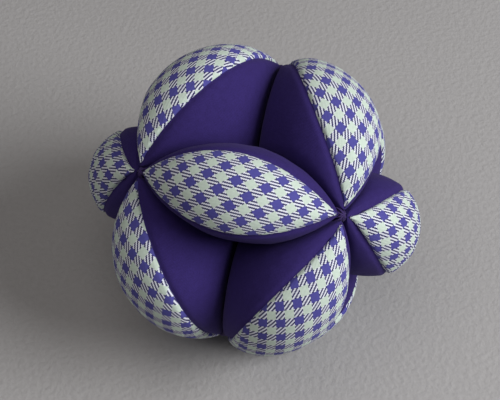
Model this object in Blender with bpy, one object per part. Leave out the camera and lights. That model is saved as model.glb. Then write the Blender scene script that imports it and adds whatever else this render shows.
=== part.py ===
"""Stuffed cloth puzzle ball: twelve filled wedges joined tip to tip.

Each wedge is a folded plain cloth pouch, filled, and closed with a pointed
oval of checked cloth.  The wedges stand on the twelve edges of an octahedron:
four tips meet at each of its six corners and a finger hollow opens through
each of its eight faces.  Metres, +Z up, resting on z = 0.
"""
import math

import bmesh
import bpy
import numpy as np

MM = 0.001

# Ball, millimetres from its centre
TIP_RADIUS = 57.8        # along an octahedron axis, to the sewn tips
TIP_OFFSET = 2.2         # each tip stops this far from the axis
SEAM_RADIUS = 61.0       # seam line, half way along a wedge
CROWN_RADIUS = 69.3      # top of the checked oval, half way along
FOLD_RADIUS = 11.5       # inner fold of the pouch, half way along

# Cross-section of a wedge
SEAM_HALF = 18.2         # half width between the two seams
SIDE_HALF = 21.4         # half width where the plain sides bulge most
SIDE_PEAK = 0.32         # place of that bulge, 0 at the seam, 1 at the fold
FOLD_ROUND = 0.62        # 0.5 gives an elliptical fold, 1 a sharp one
CROWN_ANGLE = 60.0       # degrees from the crown line to the seam
SEAM_TAPER = 1.05        # how the oval narrows towards its tips
SIDE_TAPER = 0.80        # how the bulge fades towards the tips

# Cloth and fit
CLOTH = 1.2              # checked oval, thickness
GAP = 0.40               # between the oval and the filled pouch
TIP_GAP = 0.8            # more of it at the narrow tips
PRESS_GAP = 0.32         # kept from each plane shared with a neighbour
PRESS_SOFT = 1.1         # softness of the pressed contact
SIT_DEPTH = 1.3          # how far the three lowest ovals are flattened
REST_SINK = 0.5          # the filling gives way this much more than the cloth
REST_REACH = 9.0         # up to this height above the flat spots

# Mesh
END = 0.91               # last ring, as a share of the way to the tip
POLE_SINK = 1.6          # the pouch's blunt point stops this much lower
STATIONS = 12            # spans along a wedge
ACROSS = (-1.0, -0.84, -0.50, 0.0, 0.50, 0.84, 1.0)
DOWN = (0.10, 0.26, 0.46, 0.70, 0.90)

# Cloth colours, linear
PLAIN = (0.075, 0.028, 0.20)
CHECK = (0.55, 0.53, 0.72)

# Octahedron axes in this frame: a + b + c points straight up
AXIS_A = np.array((-1 / math.sqrt(2), -1 / math.sqrt(6), 1 / math.sqrt(3)))
AXIS_B = np.array((1 / math.sqrt(2), -1 / math.sqrt(6), 1 / math.sqrt(3)))
AXIS_C = np.array((0.0, 2 / math.sqrt(6), 1 / math.sqrt(3)))

# name, first axis, second axis, and the small unevenness of hand sewing: share of the
# seam width, sideways drift of the oval and extra crown height in mm, fullness of the
# sides and how much fuller they are towards the second tip
WEDGES = (
    ("upper_front", AXIS_A, AXIS_B, 0.87, -1.0, 0.3, 0.87, 0.08),
    ("upper_left", AXIS_A, AXIS_C, 0.98, 0.3, -0.9, 0.98, 0.0),
    ("upper_right", AXIS_B, AXIS_C, 1.02, -0.5, -0.6, 1.00, 0.0),
    ("front_left", AXIS_A, -AXIS_C, 1.00, 0.3, -0.4, 1.01, 0.03),
    ("front_right", AXIS_B, -AXIS_C, 1.01, -0.5, 0.6, 0.99, -0.03),
    ("side_left", AXIS_A, -AXIS_B, 1.01, 0.9, 1.3, 1.00, 0.0),
    ("side_right", AXIS_B, -AXIS_A, 1.00, -0.2, 1.3, 1.01, 0.02),
    ("back_left", -AXIS_B, AXIS_C, 0.99, 0.4, 0.4, 0.99, 0.0),
    ("back_right", -AXIS_A, AXIS_C, 1.01, -0.3, 1.8, 1.00, -0.03),
    ("under_back", -AXIS_A, -AXIS_B, 1.00, 0.0, 0.0, 1.00, 0.0),
    ("under_left", -AXIS_B, -AXIS_C, 1.00, 0.0, 0.0, 1.00, 0.0),
    ("under_right", -AXIS_A, -AXIS_C, 1.00, 0.0, 0.0, 1.00, 0.0),
)

TIP_R = (TIP_RADIUS + TIP_OFFSET) / math.sqrt(2)
TIP_T = (TIP_RADIUS - TIP_OFFSET) / math.sqrt(2)


def arc(f, middle):
    """Point on the circle through both tips and (middle, 0), f in -1..1."""
    rise = middle - TIP_R
    radius = (TIP_T ** 2 + rise ** 2) / (2 * rise)
    centre = middle - radius
    reach = math.atan2(TIP_T, TIP_R - centre)
    return (centre + radius * math.cos(f * reach), radius * math.sin(f * reach))


def fold(f):
    """Point on the hidden inner fold: a hyperbola that runs out to the tips."""
    t = f * TIP_T
    inner = FOLD_RADIUS + (math.sqrt(TIP_R ** 2 - TIP_T ** 2) - FOLD_RADIUS) * f * f
    return (math.sqrt(t * t + inner * inner), t)


def pressed(r, t, z):
    """Half width z held inside the wedge's share of the ball, softly."""
    limit = (r - abs(t)) / math.sqrt(2) - PRESS_GAP
    return limit - PRESS_SOFT * math.log1p(math.exp((limit - z) / PRESS_SOFT))


def taper(f, power):
    return max(math.cos(f * math.pi / 2), 0.0) ** power


def crown_point(f, u, width, drift, lift):
    """Checked oval: f along, u across from seam to seam."""
    seam = arc(f, SEAM_RADIUS)
    top = arc(f, CROWN_RADIUS + lift)
    bend = math.radians(CROWN_ANGLE)
    rise = (math.cos(u * bend) - math.cos(bend)) / (1 - math.cos(bend))
    half = SEAM_HALF * width * taper(f, SEAM_TAPER)
    z = half * math.sin(u * bend) / math.sin(bend) + drift * taper(f, 1.0)
    return np.array((seam[0] + (top[0] - seam[0]) * rise,
                     seam[1] + (top[1] - seam[1]) * rise, z))


def crown_layer(f, u, depth, row):
    """Oval point moved inwards from its face by depth."""
    step = 0.01
    along = crown_point(f + step, u, *row) - crown_point(f - step, u, *row)
    across = crown_point(f, u + step, *row) - crown_point(f, u - step, *row)
    normal = np.cross(along, across)
    normal /= np.linalg.norm(normal)
    return crown_point(f, u, *row) - normal * depth


def side_point(f, v, side, width, drift, fullness, skew):
    """Plain cloth: v from the seam (0) to the inner fold (1)."""
    seam = arc(f, SEAM_RADIUS)
    inner = fold(f)
    r = seam[0] + (inner[0] - seam[0]) * v
    t = seam[1] + (inner[1] - seam[1]) * v
    start = SEAM_HALF * width * taper(f, SEAM_TAPER) + side * drift * taper(f, 1.0)
    full = max(SIDE_HALF * fullness * (1 + skew * f) * taper(f, SIDE_TAPER), start)
    if v < SIDE_PEAK:
        z = full - (full - start) * (1 - v / SIDE_PEAK) ** 2
    else:
        fall = (v - SIDE_PEAK) / (1 - SIDE_PEAK)
        z = full * max(1 - fall * fall, 0.0) ** FOLD_ROUND
    z = max(pressed(r, t, z), 0.0)
    return np.array((r, t, side * z))


def stations():
    return [END * (2 * i / STATIONS - 1) for i in range(STATIONS + 1)]


def to_world(points, p, q):
    """Wedge coordinates (out, along, across) to the ball's frame, metres."""
    basis = np.array(((p + q) / math.sqrt(2), (q - p) / math.sqrt(2), np.cross(p, q)))
    return np.array(points) @ basis * MM


def ring_faces(rows, count):
    faces = []
    for i in range(rows - 1):
        for j in range(count):
            k = (j + 1) % count
            faces.append((i * count + j, i * count + k, (i + 1) * count + k, (i + 1) * count + j))
    return faces


def pouch(p, q, row, sides):
    """Filled pouch: rings of crown, side, fold, side, closed at both tips."""
    points = []
    for f in stations():
        seam = np.array(arc(f, SEAM_RADIUS))
        inward = np.array(fold(f)) - seam
        sink = np.append(inward / np.linalg.norm(inward), 0.0) * TIP_GAP * f ** 4
        points += [crown_layer(f, u, CLOTH + GAP, row) + sink for u in ACROSS]
        points += [side_point(f, v, 1, *sides) for v in DOWN]
        points.append(np.array((*fold(f), 0.0)))
        points += [side_point(f, v, -1, *sides) for v in reversed(DOWN)]
    count = len(ACROSS) + 2 * len(DOWN) + 1
    faces = ring_faces(STATIONS + 1, count)
    for end, ring in ((-1, 0), (1, STATIONS)):
        points.append(np.array((TIP_R - POLE_SINK, end * (TIP_T - POLE_SINK / 2), 0.0)))
        pole = len(points) - 1
        faces += [(pole, ring * count + j, ring * count + (j + 1) % count) for j in range(count)]
    return to_world(points, p, q), faces


def oval(p, q, row):
    """Checked oval: an outer and an inner face joined round the edge."""
    points = []
    for f in stations():
        points += [crown_layer(f, u, 0.0, row) for u in ACROSS]
        points += [crown_layer(f, u, CLOTH, row) for u in reversed(ACROSS)]
    count = 2 * len(ACROSS)
    faces = ring_faces(STATIONS + 1, count)
    for ring in (0, STATIONS):
        for j in range(len(ACROSS) - 1):
            base = ring * count
            faces.append((base + j, base + j + 1, base + count - 2 - j, base + count - 1 - j))
    return to_world(points, p, q), faces


def material(name, colour, rough):
    mat = bpy.data.materials.new(name)
    mat.use_nodes = True
    shader = mat.node_tree.nodes["Principled BSDF"]
    shader.inputs["Base Color"].default_value = (*colour, 1.0)
    shader.inputs["Roughness"].default_value = rough
    return mat


def triangles(faces):
    out = []
    for face in faces:
        out += [(face[0], face[i], face[i + 1]) for i in range(1, len(face) - 1)]
    return out


def add(name, points, faces, mat):
    mesh = bpy.data.meshes.new(name)
    mesh.from_pydata([tuple(p) for p in points], [], triangles(faces))
    shell = bmesh.new()
    shell.from_mesh(mesh)
    bmesh.ops.recalc_face_normals(shell, faces=shell.faces)
    shell.to_mesh(mesh)
    shell.free()
    mesh.materials.append(mat)
    bpy.context.scene.collection.objects.link(bpy.data.objects.new(name, mesh))


def main():
    for old in list(bpy.data.objects):
        bpy.data.objects.remove(old, do_unlink=True)

    built = []
    for name, p, q, width, drift, lift, fullness, skew in WEDGES:
        row = (width, drift, lift)
        sides = (width, drift, fullness, skew)
        built.append((name, pouch(p, q, row, sides), oval(p, q, row)))

    # Sit the ball down: the lowest ovals flatten on z = 0
    every = np.concatenate([sheet[0] for _, _, sheet in built])
    middle = (every.min(0) + every.max(0)) / 2
    shift = np.array((middle[0], middle[1], every[:, 2].min() + SIT_DEPTH * MM))
    wide = len(ACROSS)
    rows = STATIONS + 1
    for name, (filled, filled_faces), (sheet, sheet_faces) in built:
        filled -= shift
        sheet -= shift
        layers = sheet.reshape(rows, 2 * wide, 3)
        rise = np.maximum(-layers[:, :wide, 2], 0.0)
        layers[:, :wide, 2] += rise
        layers[:, wide:, 2] += rise[:, ::-1]
        near = np.clip(1 - layers[:, :wide, 2] / (REST_REACH * MM), 0.0, 1.0)
        round_wedge = (len(filled) - 2) // rows
        crown = filled[:-2].reshape(rows, round_wedge, 3)[:, :wide]
        crown[:, :, 2] += rise + near * REST_SINK * MM
        add(name + "_pouch", filled, filled_faces, material(name + "_plain", PLAIN, 0.9))
        add(name + "_oval", sheet, sheet_faces, material(name + "_check", CHECK, 0.85))


main()
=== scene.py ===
# %% [markdown]
# # A stuffed cloth puzzle ball
# Twelve filled wedges stand on the twelve edges of an octahedron. Each wedge is a folded piece
# of plain purple cotton, filled, and closed with a pointed oval of shepherd's check. Their tips
# are stitched together four at a time, so eight three-sided hollows open between them for small
# fingers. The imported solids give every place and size; this lesson puts cloth on them.

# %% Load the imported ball
import math

import bmesh
import bpy
import numpy as np
from mathutils import Matrix, Vector


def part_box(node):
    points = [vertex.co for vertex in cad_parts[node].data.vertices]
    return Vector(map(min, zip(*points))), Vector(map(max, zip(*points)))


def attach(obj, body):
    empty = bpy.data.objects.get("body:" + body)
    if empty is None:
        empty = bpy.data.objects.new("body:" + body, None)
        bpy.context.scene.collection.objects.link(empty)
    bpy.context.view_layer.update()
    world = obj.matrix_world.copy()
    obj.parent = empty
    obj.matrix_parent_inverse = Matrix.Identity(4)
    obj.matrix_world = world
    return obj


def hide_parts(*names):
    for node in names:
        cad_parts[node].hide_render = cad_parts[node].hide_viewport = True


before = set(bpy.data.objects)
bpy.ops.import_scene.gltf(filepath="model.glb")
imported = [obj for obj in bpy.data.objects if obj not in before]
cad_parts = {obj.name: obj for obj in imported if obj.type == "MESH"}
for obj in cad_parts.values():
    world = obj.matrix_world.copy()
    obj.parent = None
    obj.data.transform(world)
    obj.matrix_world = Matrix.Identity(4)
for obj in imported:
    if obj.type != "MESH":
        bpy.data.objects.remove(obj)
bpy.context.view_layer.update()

MM = 0.001

# %% [markdown]
# ## The ball's own axes
# The octahedron has three axes, a, b and c. Their sum points straight up, because the ball
# rests on three wedges with one hollow facing the floor. The ball's centre is the mean of the
# middles of its wedges' boxes.

# %% Axes and centre
AXIS_A = np.array((-1 / math.sqrt(2), -1 / math.sqrt(6), 1 / math.sqrt(3)))
AXIS_B = np.array((1 / math.sqrt(2), -1 / math.sqrt(6), 1 / math.sqrt(3)))
AXIS_C = np.array((0.0, 2 / math.sqrt(6), 1 / math.sqrt(3)))

middles = []
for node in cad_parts:
    if node.endswith("_pouch"):
        low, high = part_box(node)
        middles.append((np.array(low) + np.array(high)) / 2)
CENTRE = np.mean(middles, axis=0)
print("centre of the ball", CENTRE.round(5))

# %% [markdown]
# ## The wedge in numbers
# Inside a wedge, r runs outwards, t from tip to tip and z from one seam to the other. These
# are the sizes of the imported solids, in millimetres, and the small unevenness of hand sewing:
# the share of the seam width, a sideways drift, extra crown height, the fullness of the sides
# and how much fuller they are towards the second tip.

# %% Sizes
TIP_RADIUS = 57.8
TIP_OFFSET = 2.2
SEAM_RADIUS = 61.0
CROWN_RADIUS = 69.3
FOLD_RADIUS = 11.5
SEAM_HALF = 18.2
SIDE_HALF = 21.4
SIDE_PEAK = 0.32
FOLD_ROUND = 0.62
CROWN_ANGLE = math.radians(60)
SEAM_TAPER = 1.05
SIDE_TAPER = 0.80
PRESS_GAP = 0.32
PRESS_SOFT = 1.1

TIP_R = (TIP_RADIUS + TIP_OFFSET) / math.sqrt(2)
TIP_T = (TIP_RADIUS - TIP_OFFSET) / math.sqrt(2)

# name, two axes, width, drift, lift, fullness, skew, turn of the check in degrees, start in mm
WEDGES = (
    ("upper_front", AXIS_A, AXIS_B, 0.87, -1.0, 0.3, 0.87, 0.08, -3.0, (1.0, 0.5)),
    ("upper_left", AXIS_A, AXIS_C, 0.98, 0.3, -0.9, 0.98, 0.0, -3.0, (2.0, 1.0)),
    ("upper_right", AXIS_B, AXIS_C, 1.02, -0.5, -0.6, 1.00, 0.0, 5.0, (0.5, 3.0)),
    ("front_left", AXIS_A, -AXIS_C, 1.00, 0.3, -0.4, 1.01, 0.03, 2.0, (4.0, 2.0)),
    ("front_right", AXIS_B, -AXIS_C, 1.01, -0.5, 0.6, 0.99, -0.03, -5.0, (1.0, 5.0)),
    ("side_left", AXIS_A, -AXIS_B, 1.01, 0.9, 1.3, 1.00, 0.0, 3.0, (3.0, 3.0)),
    ("side_right", AXIS_B, -AXIS_A, 1.00, -0.2, 1.3, 1.01, 0.02, -4.0, (5.0, 0.5)),
    ("back_left", -AXIS_B, AXIS_C, 0.99, 0.4, 0.4, 0.99, 0.0, 1.0, (2.5, 4.0)),
    ("back_right", -AXIS_A, AXIS_C, 1.01, -0.3, 1.8, 1.00, -0.03, -2.0, (1.5, 2.5)),
    ("under_back", -AXIS_A, -AXIS_B, 1.00, 0.0, 0.0, 1.00, 0.0, 5.0, (3.5, 1.5)),
    ("under_left", -AXIS_B, -AXIS_C, 1.00, 0.0, 0.0, 1.00, 0.0, -1.0, (0.0, 4.5)),
    ("under_right", -AXIS_A, -AXIS_C, 1.00, 0.0, 0.0, 1.00, 0.0, 2.0, (4.5, 4.0)),
)
print("wedges", len(WEDGES))

# %% [markdown]
# ## Curves of a wedge
# Seams and crown are arcs through both tips. The inner fold is a hyperbola that runs out to
# them. Where a side bulges into its neighbours it is pressed flat: its half width is held
# inside the wedge's own share of the ball by a soft limit, so the sides touch along a crease.

# %% Arc, fold and pressed side
def arc(f, middle):
    """Points on the circle through both tips and (middle, 0); f runs from -1 to 1."""
    rise = middle - TIP_R
    radius = (TIP_T ** 2 + rise ** 2) / (2 * rise)
    centre = middle - radius
    reach = math.atan2(TIP_T, TIP_R - centre)
    return centre + radius * np.cos(f * reach), radius * np.sin(f * reach)


def fold(f):
    t = f * TIP_T
    inner = FOLD_RADIUS + (math.sqrt(TIP_R ** 2 - TIP_T ** 2) - FOLD_RADIUS) * f * f
    return np.sqrt(t * t + inner * inner), t


def pressed(r, t, z):
    limit = (r - np.abs(t)) / math.sqrt(2) - PRESS_GAP
    return limit - PRESS_SOFT * np.logaddexp(0.0, (limit - z) / PRESS_SOFT)


def taper(f, power):
    return np.maximum(np.cos(f * math.pi / 2), 1e-9) ** power


def lumps(a, b, seed, size):
    """Gentle unevenness of the filling: a few waves with fixed random phases."""
    draw = np.random.default_rng(seed)
    total = 0.0
    for wave in range(1, 5):
        turn = draw.uniform(0, 2 * math.pi, 2)
        tilt = draw.uniform(-1, 1, 2)
        total = total + np.sin(wave * 2.1 * (a + tilt[0] * b) + turn[0]) \
            * np.cos(wave * 1.7 * (b + tilt[1] * a) + turn[1]) / wave
    return size * total / 2


seam_middle = arc(np.array(0.0), SEAM_RADIUS)
print("seam half way along, mm", [round(float(v), 2) for v in seam_middle])

# %% [markdown]
# ## Surfaces as grids
# A surface is a grid of points: rows from tip to tip, columns across. The helper below gives
# each grid point its normal from its neighbours, which is all that is needed to sink a seam,
# raise a pucker or give the cloth its thickness.

# %% Grid helpers
def normals(grid):
    along = np.gradient(grid, axis=0)
    across = np.gradient(grid, axis=1)
    normal = np.cross(along, across)
    length = np.linalg.norm(normal, axis=2, keepdims=True)
    return normal / np.maximum(length, 1e-9)


def to_ball(points, p, q):
    basis = np.array(((p + q) / math.sqrt(2), (q - p) / math.sqrt(2), np.cross(p, q)))
    return points @ basis * MM + CENTRE


def grid_faces(rows, columns, start, closed=False):
    faces = []
    for i in range(rows - 1):
        for j in range(columns if closed else columns - 1):
            k = (j + 1) % columns
            a = start + i * columns
            b = a + columns
            faces.append((a + j, a + k, b + k, b + j))
    return faces


def finish_mesh(name, points, faces, cloth):
    """One closed mesh with outward faces; cloth is each point's place on the flat cloth, mm."""
    mesh = bpy.data.meshes.new(name)
    mesh.from_pydata([tuple(p) for p in points], [], faces)
    shell = bmesh.new()
    shell.from_mesh(mesh)
    bmesh.ops.recalc_face_normals(shell, faces=shell.faces)
    shell.to_mesh(mesh)
    shell.free()
    mesh.polygons.foreach_set("use_smooth", [True] * len(mesh.polygons))
    layer = mesh.attributes.new("cloth_mm", "FLOAT_VECTOR", "POINT")
    flat = np.zeros((len(points), 3), dtype=np.float32)
    flat[:, :2] = cloth
    layer.data.foreach_set("vector", flat.ravel())
    piece = bpy.data.objects.new(name, mesh)
    bpy.context.scene.collection.objects.link(piece)
    return piece


print("grid helpers ready")

# %% [markdown]
# ## The checked oval
# The real oval is cut on the bias and sewn right sides together, so its edge rolls down into
# the seam. The same roll hides the cut edge here. Small puckers follow the seam and little
# gathers run into the tips, where the cloth is pulled to a point.

# %% Shape of the oval
OVAL_END = 0.972            # last row, as a share of the way to the tip
OVAL_ROWS = 121
OVAL_COLUMNS = 37
ROWS_CROWD = 1.25           # how much rows crowd towards the tips
COLUMNS_CROWD = 1.35        # how much columns crowd towards the seams
BIAS_LONGER = 1.10          # bias-cut cloth stretches along the oval
BIAS_NARROWER = 0.93        # and draws in across it
CLOTH_THICK = 0.9
ROLL_DEPTH = 0.95           # how far the edge rolls down into the seam
ROLL_WIDTH = 0.85
PUCKER_EVERY = 3.1          # stitch puckers along the seam
PUCKER = 0.10
PUCKER_REACH = 2.2
PUCKER_CLEAR = 0.6
GATHER = 0.28               # gathers near the tips
GATHER_FROM = 0.70
GATHER_OVER = 0.27
GATHER_WAVES = 7.5
OVAL_LUMPS = 0.30
FLOOR_SOFT = 0.35           # softness of the contact with the floor


def oval_grid(f, u, width, drift, lift):
    seam_r, seam_t = arc(f, SEAM_RADIUS)
    top_r, top_t = arc(f, CROWN_RADIUS + lift)
    rise = (np.cos(u * CROWN_ANGLE) - math.cos(CROWN_ANGLE)) / (1 - math.cos(CROWN_ANGLE))
    half = SEAM_HALF * width * taper(f, SEAM_TAPER)
    z = half * np.sin(u * CROWN_ANGLE) / math.sin(CROWN_ANGLE) + drift * taper(f, 1.0)
    return np.stack((seam_r + (top_r - seam_r) * rise, seam_t + (top_t - seam_t) * rise, z), axis=2)


def oval(name, p, q, width, drift, lift, turn, start, seed):
    # rows crowd towards the tips, columns towards the seams
    f_line = OVAL_END * np.sin(np.linspace(-1, 1, OVAL_ROWS) * ROWS_CROWD) / math.sin(ROWS_CROWD)
    u_line = np.sin(np.linspace(-1, 1, OVAL_COLUMNS) * COLUMNS_CROWD) / math.sin(COLUMNS_CROWD)
    f, u = np.meshgrid(f_line, u_line, indexing="ij")
    face = oval_grid(f, u, width, drift, lift)

    across = np.zeros_like(f)
    across[:, 1:] = np.cumsum(np.linalg.norm(np.diff(face, axis=1), axis=2), axis=1)
    wide = across[:, -1:].copy()
    across -= wide / 2
    middle = face[:, OVAL_COLUMNS // 2]
    along = np.append(0, np.cumsum(np.linalg.norm(np.diff(middle, axis=0), axis=1)))
    along = np.repeat((along - along[-1] / 2)[:, None], OVAL_COLUMNS, axis=1)

    from_seam = wide / 2 - np.abs(across)
    deep = np.minimum(1.0, wide / 5)
    height = -ROLL_DEPTH * deep * np.exp(-(from_seam / ROLL_WIDTH) ** 2)
    phase = np.where(u > 0, seed, seed + 1.7)
    height += PUCKER * deep * np.sin(2 * math.pi * along / PUCKER_EVERY + phase) \
        * np.exp(-from_seam / PUCKER_REACH) * (1 - np.exp(-(from_seam / PUCKER_CLEAR) ** 2))
    near_tip = np.clip((np.abs(f) - GATHER_FROM) / GATHER_OVER, 0, 1) ** 2
    waves = np.cos(u * GATHER_WAVES + seed)
    height += GATHER * near_tip * deep * waves * np.clip(from_seam / 1.2, 0, 1)
    height += lumps(f * 2.2, u * 1.2, seed, OVAL_LUMPS) * np.clip(from_seam / 5, 0, 1)

    up = normals(face)
    outer = face + up * height[..., None]
    thick = CLOTH_THICK * np.minimum(1.0, wide / 4)
    inner = outer - up * thick[..., None]

    turned = math.radians(45 + turn)
    drawn = along / BIAS_LONGER
    narrowed = across / BIAS_NARROWER
    warp = drawn * math.cos(turned) + narrowed * math.sin(turned) + start[0]
    weft = drawn * math.sin(turned) - narrowed * math.cos(turned) + start[1]
    flat = np.stack((warp, weft), axis=2)

    ring = np.concatenate((outer, inner[:, ::-1]), axis=1)
    cloth = np.concatenate((flat, flat[:, ::-1]), axis=1)
    columns = 2 * OVAL_COLUMNS
    faces = grid_faces(OVAL_ROWS, columns, 0, closed=True)
    for row in (0, OVAL_ROWS - 1):
        for j in range(OVAL_COLUMNS - 1):
            base = row * columns
            faces.append((base + j, base + j + 1, base + columns - 2 - j, base + columns - 1 - j))
    points = to_ball(ring.reshape(-1, 3), p, q)
    sit(points, np.repeat([0.0, CLOTH_THICK * MM], OVAL_COLUMNS), OVAL_ROWS)
    size = (along[-1, 0] - along[0, 0], float(wide.max()))
    area = float((wide[:, 0][:-1] * np.diff(along[:, 0])).sum())
    return finish_mesh(name, points, faces, cloth.reshape(-1, 2)), size, area


def sit(points, layer, rows):
    """Press whatever would sink into the floor flat on it, one cloth layer above another."""
    floor = np.tile(layer, rows)
    low = points[:len(floor), 2]
    soft = FLOOR_SOFT * MM
    points[:len(floor), 2] = floor + soft * np.logaddexp(0.0, (low - floor) / soft)


print("oval: rows", OVAL_ROWS, "columns", OVAL_COLUMNS)

# %% [markdown]
# ## The filled pouch
# The pouch carries on from the seam: it starts down in the groove beside the oval, swells past
# it, leans on its neighbours and closes at the hidden fold. Its top lies under the oval.

# %% Shape of the pouch
POUCH_END = 0.985           # last row, as a share of the way to the tip
POUCH_ROWS = 101
POUCH_SIDE = 34             # points down each side
POUCH_TOP = 9               # points across the top, under the oval
POUCH_CROWD = 1.3
SIDE_CROWD = 1.7            # points crowd towards the seam
UNDER_OVAL = 1.9            # the top lies this much below the oval's face
GROOVE_DEPTH = 1.1          # sunk beside the oval
GROOVE_WIDTH = 1.3
GROOVE_OUT = -0.55          # the groove's direction, along r
GROOVE_ACROSS = -0.84       # and along z
SIDE_LENGTH = 46.0          # cloth from seam to fold
HALF_LENGTH = 54.0          # cloth from the middle to a tip
SIDE_PUCKER = 0.14
SIDE_PUCKER_REACH = 3.0
SIDE_PUCKER_CLEAR = 0.8
SIDE_GATHER = 0.40
SIDE_GATHER_FROM = 0.55
SIDE_GATHER_OVER = 0.4
SIDE_GATHER_WAVES = 17
SIDE_LUMPS = 0.55
THINNEST = 0.02             # half thickness left where a side is pressed away
POUCH_REST = 1.3            # the filling rests this high, on the oval
POLE_DOWN = 0.7             # the closing point of each tip, below it
POLE_BACK = 0.1


def side_grid(f, v, hand, width, drift, fullness, skew):
    seam_r, seam_t = arc(f, SEAM_RADIUS)
    inner_r, inner_t = fold(f)
    r = seam_r + (inner_r - seam_r) * v
    t = seam_t + (inner_t - seam_t) * v
    start = SEAM_HALF * width * taper(f, SEAM_TAPER) + hand * drift * taper(f, 1.0)
    full = np.maximum(SIDE_HALF * fullness * (1 + skew * f) * taper(f, SIDE_TAPER), start)
    fall = np.clip((v - SIDE_PEAK) / (1 - SIDE_PEAK), 0, 1)
    z = np.where(v < SIDE_PEAK,
                 full - (full - start) * (1 - v / SIDE_PEAK) ** 2,
                 full * np.maximum(1 - fall * fall, 0) ** FOLD_ROUND)
    return r, t, z


def side(f, v, hand, width, drift, fullness, skew, seed):
    r, t, z = side_grid(f, v, hand, width, drift, fullness, skew)
    from_seam = v * SIDE_LENGTH * np.maximum(taper(f, 0.7), 0.08)
    deep = np.minimum(1.0, taper(f, 1.0) * 4)
    sink = GROOVE_DEPTH * deep * np.exp(-(from_seam / GROOVE_WIDTH) ** 2)
    length = HALF_LENGTH * f
    pucker = SIDE_PUCKER * deep * np.sin(2 * math.pi * length / PUCKER_EVERY + seed * hand) \
        * np.exp(-from_seam / SIDE_PUCKER_REACH) * (1 - np.exp(-(from_seam / SIDE_PUCKER_CLEAR) ** 2))
    near_tip = np.clip((np.abs(f) - SIDE_GATHER_FROM) / SIDE_GATHER_OVER, 0, 1) ** 2
    gather = SIDE_GATHER * near_tip * deep * np.cos(v * SIDE_GATHER_WAVES + seed)
    bulge = lumps(f * 2.5 + hand, v * 3.0, seed + 40 + hand, SIDE_LUMPS) * np.sin(math.pi * v) * deep
    z = z + pucker + gather * np.sin(math.pi * v) + bulge
    z = np.maximum(pressed(r, t, z), THINNEST)
    r = r + sink * GROOVE_OUT
    z = np.maximum(z + sink * GROOVE_ACROSS, THINNEST)
    return np.stack((r, t, hand * z), axis=2)


def pouch(name, p, q, width, drift, lift, fullness, skew, seed):
    f_line = POUCH_END * np.sin(np.linspace(-1, 1, POUCH_ROWS) * POUCH_CROWD) / math.sin(POUCH_CROWD)
    v_line = np.linspace(0, 1, POUCH_SIDE) ** SIDE_CROWD
    f, v = np.meshgrid(f_line, v_line, indexing="ij")
    right = side(f, v, 1, width, drift, fullness, skew, seed)
    left = side(f, v, -1, width, drift, fullness, skew, seed)

    f_top, u_top = np.meshgrid(f_line, np.linspace(-1, 1, POUCH_TOP + 2), indexing="ij")
    top = oval_grid(f_top, u_top, width, drift, lift)
    keel_r, keel_t = fold(f_top)
    inward = np.stack((keel_r - top[..., 0], keel_t - top[..., 1], -top[..., 2] * 0.6), axis=2)
    inward /= np.linalg.norm(inward, axis=2, keepdims=True)
    top = (top + inward * UNDER_OVAL)[:, 1:-1]

    fold_r, fold_t = fold(f_line)
    keel = np.stack((fold_r, fold_t, np.zeros_like(fold_r)), axis=1)[:, None]
    ring = np.concatenate((top, right[:, :-1], keel, left[:, -2::-1]), axis=1)
    columns = ring.shape[1]
    faces = grid_faces(POUCH_ROWS, columns, 0, closed=True)
    points = ring.reshape(-1, 3)
    poles = []
    for end, row in ((-1, 0), (1, POUCH_ROWS - 1)):
        pole = len(points) + len(poles)
        poles.append((TIP_R - POLE_DOWN, end * (TIP_T - POLE_BACK), 0.0))
        faces += [(pole, row * columns + j, row * columns + (j + 1) % columns) for j in range(columns)]
    points = to_ball(np.concatenate((points, np.array(poles))), p, q)
    sit(points, np.full(columns, POUCH_REST * MM), POUCH_ROWS)

    length = np.repeat(HALF_LENGTH * f_line[:, None], columns, axis=1)
    down = np.concatenate((np.zeros(POUCH_TOP), v_line[:-1], [1.0], 2 - v_line[-2::-1])) * SIDE_LENGTH
    cloth = np.stack((length, np.repeat(down[None], POUCH_ROWS, axis=0)), axis=2).reshape(-1, 2)
    cloth = np.concatenate((cloth, [(-HALF_LENGTH, 0.0), (HALF_LENGTH, 0.0)]))
    return finish_mesh(name, points, faces, cloth)


print("pouch: rows", POUCH_ROWS, "round", POUCH_TOP + 2 * POUCH_SIDE - 1)

# %% [markdown]
# ## Shepherd's check, yarn by yarn
# This is a 2/2 twill with eight pale yarns and eight violet ones in turn, both ways. A yarn
# crossing shows the warp where (warp number - weft number) modulo 4 is below 2, else the weft.
# The shader works that out from each point's place on the flat cloth, so the broken edges and
# the fine diagonal lines of the real cloth come by themselves. In the lines the two colours
# lie side by side; there the violet is painted darker, as painted shade between the yarn floats,
# and the pale is painted whiter and bluer, as a painted highlight on the floats.

# %% Node helpers
def material(name, roughness, sheen):
    mat = bpy.data.materials.new(name)
    mat.use_nodes = True
    shader = mat.node_tree.nodes["Principled BSDF"]
    shader.inputs["Roughness"].default_value = roughness
    shader.inputs["Sheen Weight"].default_value = sheen
    shader.inputs["Sheen Roughness"].default_value = 0.45
    shader.inputs["Specular IOR Level"].default_value = 0.22
    return mat, mat.node_tree, shader


def value(tree, operation, *inputs):
    node = tree.nodes.new("ShaderNodeMath")
    node.operation = operation
    for socket, given in zip(node.inputs, inputs):
        if isinstance(given, (int, float)):
            socket.default_value = given
        else:
            tree.links.new(given, socket)
    return node.outputs[0]


def blend(tree, factor, first, second, mode="MIX"):
    node = tree.nodes.new("ShaderNodeMix")
    node.data_type = "RGBA"
    node.blend_type = mode
    for socket, given in ((node.inputs[0], factor), (node.inputs[6], first), (node.inputs[7], second)):
        if isinstance(given, (int, float)):
            socket.default_value = given
        elif isinstance(given, tuple):
            socket.default_value = (*given, 1.0)
        else:
            tree.links.new(given, socket)
    return node.outputs[2]


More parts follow.
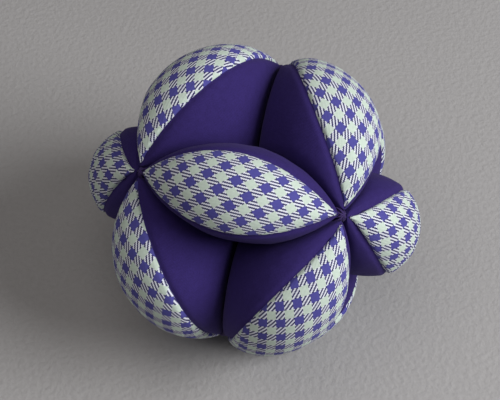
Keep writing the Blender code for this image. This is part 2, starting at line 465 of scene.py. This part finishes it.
def noise(tree, vector, scale, detail=2.0):
    node = tree.nodes.new("ShaderNodeTexNoise")
    node.inputs["Scale"].default_value = scale
    node.inputs["Detail"].default_value = detail
    tree.links.new(vector, node.inputs["Vector"])
    return node.outputs["Fac"]


def bump(tree, shader, height, strength, distance):
    node = tree.nodes.new("ShaderNodeBump")
    node.inputs["Strength"].default_value = strength
    node.inputs["Distance"].default_value = distance
    tree.links.new(height, node.inputs["Height"])
    tree.links.new(node.outputs["Normal"], shader.inputs["Normal"])


def cloth_place(tree):
    place = tree.nodes.new("ShaderNodeAttribute")
    place.attribute_name = "cloth_mm"
    split = tree.nodes.new("ShaderNodeSeparateXYZ")
    tree.links.new(place.outputs["Vector"], split.inputs[0])
    return place.outputs["Vector"], split.outputs[0], split.outputs[1]


# %% The check
YARN = 0.46
BAND = 8
PALE = (0.60, 0.70, 0.61)
VIOLET = (0.082, 0.076, 0.325)
# painted highlight: the pale yarn in the twill lines is painted whiter than in its squares
PALE_LINE_PAINTED_HIGHLIGHT = (0.78, 0.80, 0.88)
# painted shade: the violet yarn in the twill lines is painted darker than in its squares
VIOLET_LINE_PAINTED_SHADE = (0.024, 0.019, 0.105)


def check_cloth():
    mat, tree, shader = material("shepherds_check", 0.86, 0.05)
    vector, across_warp, across_weft = cloth_place(tree)
    warp = value(tree, "DIVIDE", across_warp, YARN)
    weft = value(tree, "DIVIDE", across_weft, YARN)
    warp_number = value(tree, "FLOOR", warp)
    weft_number = value(tree, "FLOOR", weft)
    pale_warp = value(tree, "LESS_THAN", value(tree, "FLOORED_MODULO", warp_number, 2 * BAND), BAND)
    pale_weft = value(tree, "LESS_THAN", value(tree, "FLOORED_MODULO", weft_number, 2 * BAND), BAND)
    difference = value(tree, "SUBTRACT", warp_number, weft_number)
    over = value(tree, "LESS_THAN", value(tree, "FLOORED_MODULO", difference, 4), 2)
    shown_warp = value(tree, "MULTIPLY", over, pale_warp)
    shown_weft = value(tree, "MULTIPLY", value(tree, "SUBTRACT", 1.0, over), pale_weft)
    pale = value(tree, "ADD", shown_warp, shown_weft)
    mixed = value(tree, "ABSOLUTE", value(tree, "SUBTRACT", pale_warp, pale_weft))
    # in the twill lines the colours switch to the painted-highlight pale and the painted-shade violet
    colour = blend(tree, pale, blend(tree, mixed, VIOLET, VIOLET_LINE_PAINTED_SHADE), blend(tree, mixed, PALE, PALE_LINE_PAINTED_HIGHLIGHT))
    uneven = value(tree, "MULTIPLY_ADD", noise(tree, vector, 0.9), 0.22, 0.89)
    grey = tree.nodes.new("ShaderNodeCombineColor")
    for socket in grey.inputs:
        tree.links.new(uneven, socket)
    colour = blend(tree, 1.0, colour, grey.outputs[0], "MULTIPLY")
    tree.links.new(colour, shader.inputs["Base Color"])
    slope = value(tree, "SUBTRACT", warp, weft)
    ridge = value(tree, "ABSOLUTE", value(tree, "SINE", value(tree, "MULTIPLY", slope, math.pi / 4)))
    yarns = value(tree, "ABSOLUTE", value(tree, "SINE", value(tree, "MULTIPLY", warp, math.pi)))
    height = value(tree, "MULTIPLY_ADD", yarns, 0.4, ridge)
    bump(tree, shader, height, 0.35, 0.00012)
    return mat


CHECK = check_cloth()
print("repeat of the check, mm", round(2 * BAND * YARN, 2))

# %% [markdown]
# ## Plain purple cotton
# The sides are a firm plain cotton. Its yarns are too fine to see one by one, so the colour is
# even with a faint mottling, a soft sheen and a fine woven bump.

# %% The plain cloth
PURPLE = (0.024, 0.0125, 0.096)
PURPLE_WORN = (0.042, 0.0245, 0.168)
PLAIN_YARN = 0.42


def plain_cloth():
    mat, tree, shader = material("plain_purple_cotton", 0.9, 0.06)
    shader.inputs["Sheen Tint"].default_value = (0.55, 0.45, 0.9, 1.0)
    vector, along, down = cloth_place(tree)
    mottle = noise(tree, vector, 0.35, 4.0)
    fine = noise(tree, vector, 1.6, 3.0)
    factor = value(tree, "MULTIPLY_ADD", fine, 1.1, value(tree, "MULTIPLY_ADD", mottle, 0.7, -0.45))
    colour = blend(tree, factor, PURPLE, PURPLE_WORN)
    tree.links.new(colour, shader.inputs["Base Color"])
    first = value(tree, "SINE", value(tree, "MULTIPLY", along, math.pi / PLAIN_YARN))
    second = value(tree, "SINE", value(tree, "MULTIPLY", down, math.pi / PLAIN_YARN))
    weave = value(tree, "MULTIPLY", first, second)
    bump(tree, shader, value(tree, "MULTIPLY_ADD", fine, 1.2, weave), 0.30, 0.00012)
    return mat


PLAIN = plain_cloth()
print("plain cloth ready")

# %% [markdown]
# ## Twelve wedges
# The sizes, the two surfaces and the two cloths now come together. The size each oval was cut
# to and its area are printed.

# %% Build the wedges
for number, (name, p, q, width, drift, lift, fullness, skew, turn, start) in enumerate(WEDGES):
    filled = pouch(name + "_filled_pouch", p, q, width, drift, lift, fullness, skew, number * 3 + 1)
    filled.data.materials.append(PLAIN)
    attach(filled, "root")
    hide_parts(name + "_pouch")

    top, size, area = oval(name + "_checked_oval", p, q, width, drift, lift, turn, start, number * 5 + 2)
    top.data.materials.append(CHECK)
    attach(top, "root")
    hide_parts(name + "_oval")
    print(name, "cut", round(size[0], 1), "x", round(size[1], 1), "mm, area cm2", round(area / 100, 2))

# %% [markdown]
# ## Stitched junctions
# Four tips meet at each of the six corners. The maker catches them together with a few turns of
# doubled purple thread, which sit in the little square between the tips. Geometry Nodes turn
# plain edges, one for each stitch, into round thread.

# %% Thread as a Geometry Nodes tree
def thread_tree():
    tree = bpy.data.node_groups.new("hand_stitches", "GeometryNodeTree")
    tree.interface.new_socket("Stitches", in_out="INPUT", socket_type="NodeSocketGeometry")
    radius = tree.interface.new_socket("Thread radius", in_out="INPUT", socket_type="NodeSocketFloat")
    sides = tree.interface.new_socket("Thread sides", in_out="INPUT", socket_type="NodeSocketInt")
    cloth = tree.interface.new_socket("Thread", in_out="INPUT", socket_type="NodeSocketMaterial")
    tree.interface.new_socket("Thread mesh", in_out="OUTPUT", socket_type="NodeSocketGeometry")
    given = tree.nodes.new("NodeGroupInput")
    out = tree.nodes.new("NodeGroupOutput")
    to_curve = tree.nodes.new("GeometryNodeMeshToCurve")
    profile = tree.nodes.new("GeometryNodeCurvePrimitiveCircle")
    to_mesh = tree.nodes.new("GeometryNodeCurveToMesh")
    to_mesh.inputs["Fill Caps"].default_value = True
    realize = tree.nodes.new("GeometryNodeRealizeInstances")
    paint = tree.nodes.new("GeometryNodeSetMaterial")
    link = tree.links.new
    link(given.outputs["Stitches"], to_curve.inputs["Mesh"])
    link(given.outputs["Thread radius"], profile.inputs["Radius"])
    link(given.outputs["Thread sides"], profile.inputs["Resolution"])
    link(to_curve.outputs["Curve"], to_mesh.inputs["Curve"])
    link(profile.outputs["Curve"], to_mesh.inputs["Profile Curve"])
    link(to_mesh.outputs["Mesh"], realize.inputs["Geometry"])
    link(realize.outputs["Geometry"], paint.inputs["Geometry"])
    link(given.outputs["Thread"], paint.inputs["Material"])
    link(paint.outputs["Geometry"], out.inputs["Thread mesh"])
    return tree, radius.identifier, sides.identifier, cloth.identifier


STITCH_TREE, RADIUS_INPUT, SIDES_INPUT, THREAD_INPUT = thread_tree()
print("stitch tree nodes", len(STITCH_TREE.nodes))

# %% Thread colour
THREAD_COLOUR = (0.028, 0.012, 0.085)
THREAD_WORN = (0.05, 0.025, 0.14)


def thread_finish():
    mat, tree, shader = material("purple_thread", 0.6, 0.15)
    place = tree.nodes.new("ShaderNodeTexCoord")
    ply = noise(tree, place.outputs["Object"], 2600.0, 1.0)
    tree.links.new(blend(tree, ply, THREAD_COLOUR, THREAD_WORN), shader.inputs["Base Color"])
    bump(tree, shader, ply, 0.4, 0.0001)
    return mat


THREAD = thread_finish()

# %% Stitches of one junction
THREAD_RADIUS = 0.30
THREAD_SIDES = 8
STITCHES = 14               # at each junction
STITCH_POINTS = 9           # along each stitch
STITCH_REACH = (2.2, 3.3)   # half length, shortest and longest
STITCH_LOW = 1.7            # the lowest stitch lies this far below the tips
STITCH_PILE = 0.9           # the highest lies this much above that
STITCH_ARCH = 0.9
STITCH_DIVE = 1.6           # the ends dive into the cloth


def junction_stitches(axis, other, third, seed):
    """Arched stitches across the square between four tips, in metres."""
    draw = np.random.default_rng(seed)
    points = []
    edges = []
    for stitch in range(STITCHES):
        angle = stitch * math.pi / 4 + draw.uniform(-0.25, 0.25)
        reach = draw.uniform(*STITCH_REACH)
        skew = draw.uniform(-0.7, 0.7)
        height = TIP_RADIUS - STITCH_LOW + draw.uniform(0.0, STITCH_PILE)
        first = len(points)
        for step in np.linspace(-1, 1, STITCH_POINTS):
            a = reach * step * math.cos(angle) - skew * math.sin(angle)
            b = reach * step * math.sin(angle) + skew * math.cos(angle)
            up = height + STITCH_ARCH * (1 - step * step) - STITCH_DIVE * step ** 4
            points.append((axis * up + other * a + third * b) * MM + CENTRE)
        edges += [(first + k, first + k + 1) for k in range(STITCH_POINTS - 1)]
    return points, edges


CORNERS = (
    ("left", AXIS_A, AXIS_B, AXIS_C), ("right", AXIS_B, AXIS_C, AXIS_A), ("top", AXIS_C, AXIS_A, AXIS_B),
    ("far_right", -AXIS_A, AXIS_B, AXIS_C), ("far_left", -AXIS_B, AXIS_C, AXIS_A),
    ("low", -AXIS_C, AXIS_A, AXIS_B),
)
for seed, (place, axis, other, third) in enumerate(CORNERS):
    points, edges = junction_stitches(axis, other, third, seed + 11)
    mesh = bpy.data.meshes.new("stitch_lines")
    mesh.from_pydata([tuple(p) for p in points], edges, [])
    lines = bpy.data.objects.new("stitch_lines_" + place, mesh)
    bpy.context.scene.collection.objects.link(lines)
    modifier = lines.modifiers.new("thread", "NODES")
    modifier.node_group = STITCH_TREE
    modifier[RADIUS_INPUT] = THREAD_RADIUS * MM
    modifier[SIDES_INPUT] = THREAD_SIDES
    modifier[THREAD_INPUT] = THREAD
    solid = bpy.data.meshes.new_from_object(lines.evaluated_get(bpy.context.evaluated_depsgraph_get()))
    knot = bpy.data.objects.new("stitches_" + place, solid)
    bpy.context.scene.collection.objects.link(knot)
    bpy.data.objects.remove(lines, do_unlink=True)
    solid.polygons.foreach_set("use_smooth", [True] * len(solid.polygons))
    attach(knot, "root")
    print("stitches", place, "faces", len(solid.polygons))

# %% [markdown]
# ## Floor, light and camera
# The ball stands on a plain pale sheet. One large soft light from the right does most of the
# work, a weaker one overhead keeps the left ovals readable, and the hollows fall dark.

# %% Floor
FLOOR_DARK = (0.350, 0.337, 0.332)
FLOOR_PALE = (0.470, 0.458, 0.456)
FLOOR_HALF = 3.0


def floor_finish():
    mat, tree, shader = material("pale_floor", 0.95, 0.0)
    place = tree.nodes.new("ShaderNodeTexCoord").outputs["Object"]
    grain = noise(tree, place, 420.0, 3.0)
    broad = noise(tree, place, 5.0, 2.0)
    mixed = value(tree, "MULTIPLY_ADD", grain, 0.5, value(tree, "MULTIPLY", broad, 0.5))
    tree.links.new(blend(tree, mixed, FLOOR_DARK, FLOOR_PALE), shader.inputs["Base Color"])
    bump(tree, shader, grain, 0.5, 0.0010)
    return mat


mesh = bpy.data.meshes.new("floor")
corners = ((-1, -1), (1, -1), (1, 1), (-1, 1))
mesh.from_pydata([(x * FLOOR_HALF, y * FLOOR_HALF, 0.0) for x, y in corners], [], [(0, 1, 2, 3)])
mesh.materials.append(floor_finish())
floor = bpy.data.objects.new("floor", mesh)
bpy.context.scene.collection.objects.link(floor)

# %% Camera
CAMERA_AZIMUTH = math.radians(13.5)
CAMERA_HEIGHT = math.radians(52.15)
CAMERA_AWAY = 0.54
CAMERA_ROLL = math.radians(1.46)
LENS_MM = 92.8
AIM_LEFT = 1.5 * MM

back = Vector((math.sin(CAMERA_AZIMUTH) * math.cos(CAMERA_HEIGHT),
               -math.cos(CAMERA_AZIMUTH) * math.cos(CAMERA_HEIGHT),
               math.sin(CAMERA_HEIGHT)))
camera_data = bpy.data.cameras.new("camera")
camera_data.lens = LENS_MM
camera_data.sensor_width = 36
camera = bpy.data.objects.new("camera", camera_data)
bpy.context.scene.collection.objects.link(camera)
rotation = back.to_track_quat("Z", "Y").to_matrix() @ Matrix.Rotation(CAMERA_ROLL, 3, "Z")
right = rotation @ Vector((1, 0, 0))
spot = Vector(CENTRE) - right * AIM_LEFT + back * CAMERA_AWAY
camera.matrix_world = Matrix.Translation(spot) @ rotation.to_4x4()
bpy.context.scene.camera = camera
bpy.context.scene.view_settings.view_transform = "Standard"
print("camera at", [round(c, 3) for c in spot])

# %% Lights
def area_light(name, place, aim, size, power, colour):
    data = bpy.data.lights.new(name, "AREA")
    data.shape = "DISK"
    data.size = size
    data.energy = power
    data.color = colour
    light = bpy.data.objects.new(name, data)
    bpy.context.scene.collection.objects.link(light)
    light.location = place
    light.rotation_euler = (Vector(place) - Vector(aim)).to_track_quat("Z", "Y").to_euler()


area_light("key", (1.02, -0.04, 0.84), CENTRE, 0.85, 16.5, (0.97, 0.985, 1.0))
area_light("top", (-0.20, -0.35, 1.35), CENTRE, 1.3, 5.5, (1.0, 0.96, 0.92))
world = bpy.data.worlds.new("soft_room")
bpy.context.scene.world = world
world.use_nodes = True
world.node_tree.nodes["Background"].inputs["Color"].default_value = (0.88, 0.87, 0.92, 1.0)
world.node_tree.nodes["Background"].inputs["Strength"].default_value = 0.07
print("lights and floor ready")
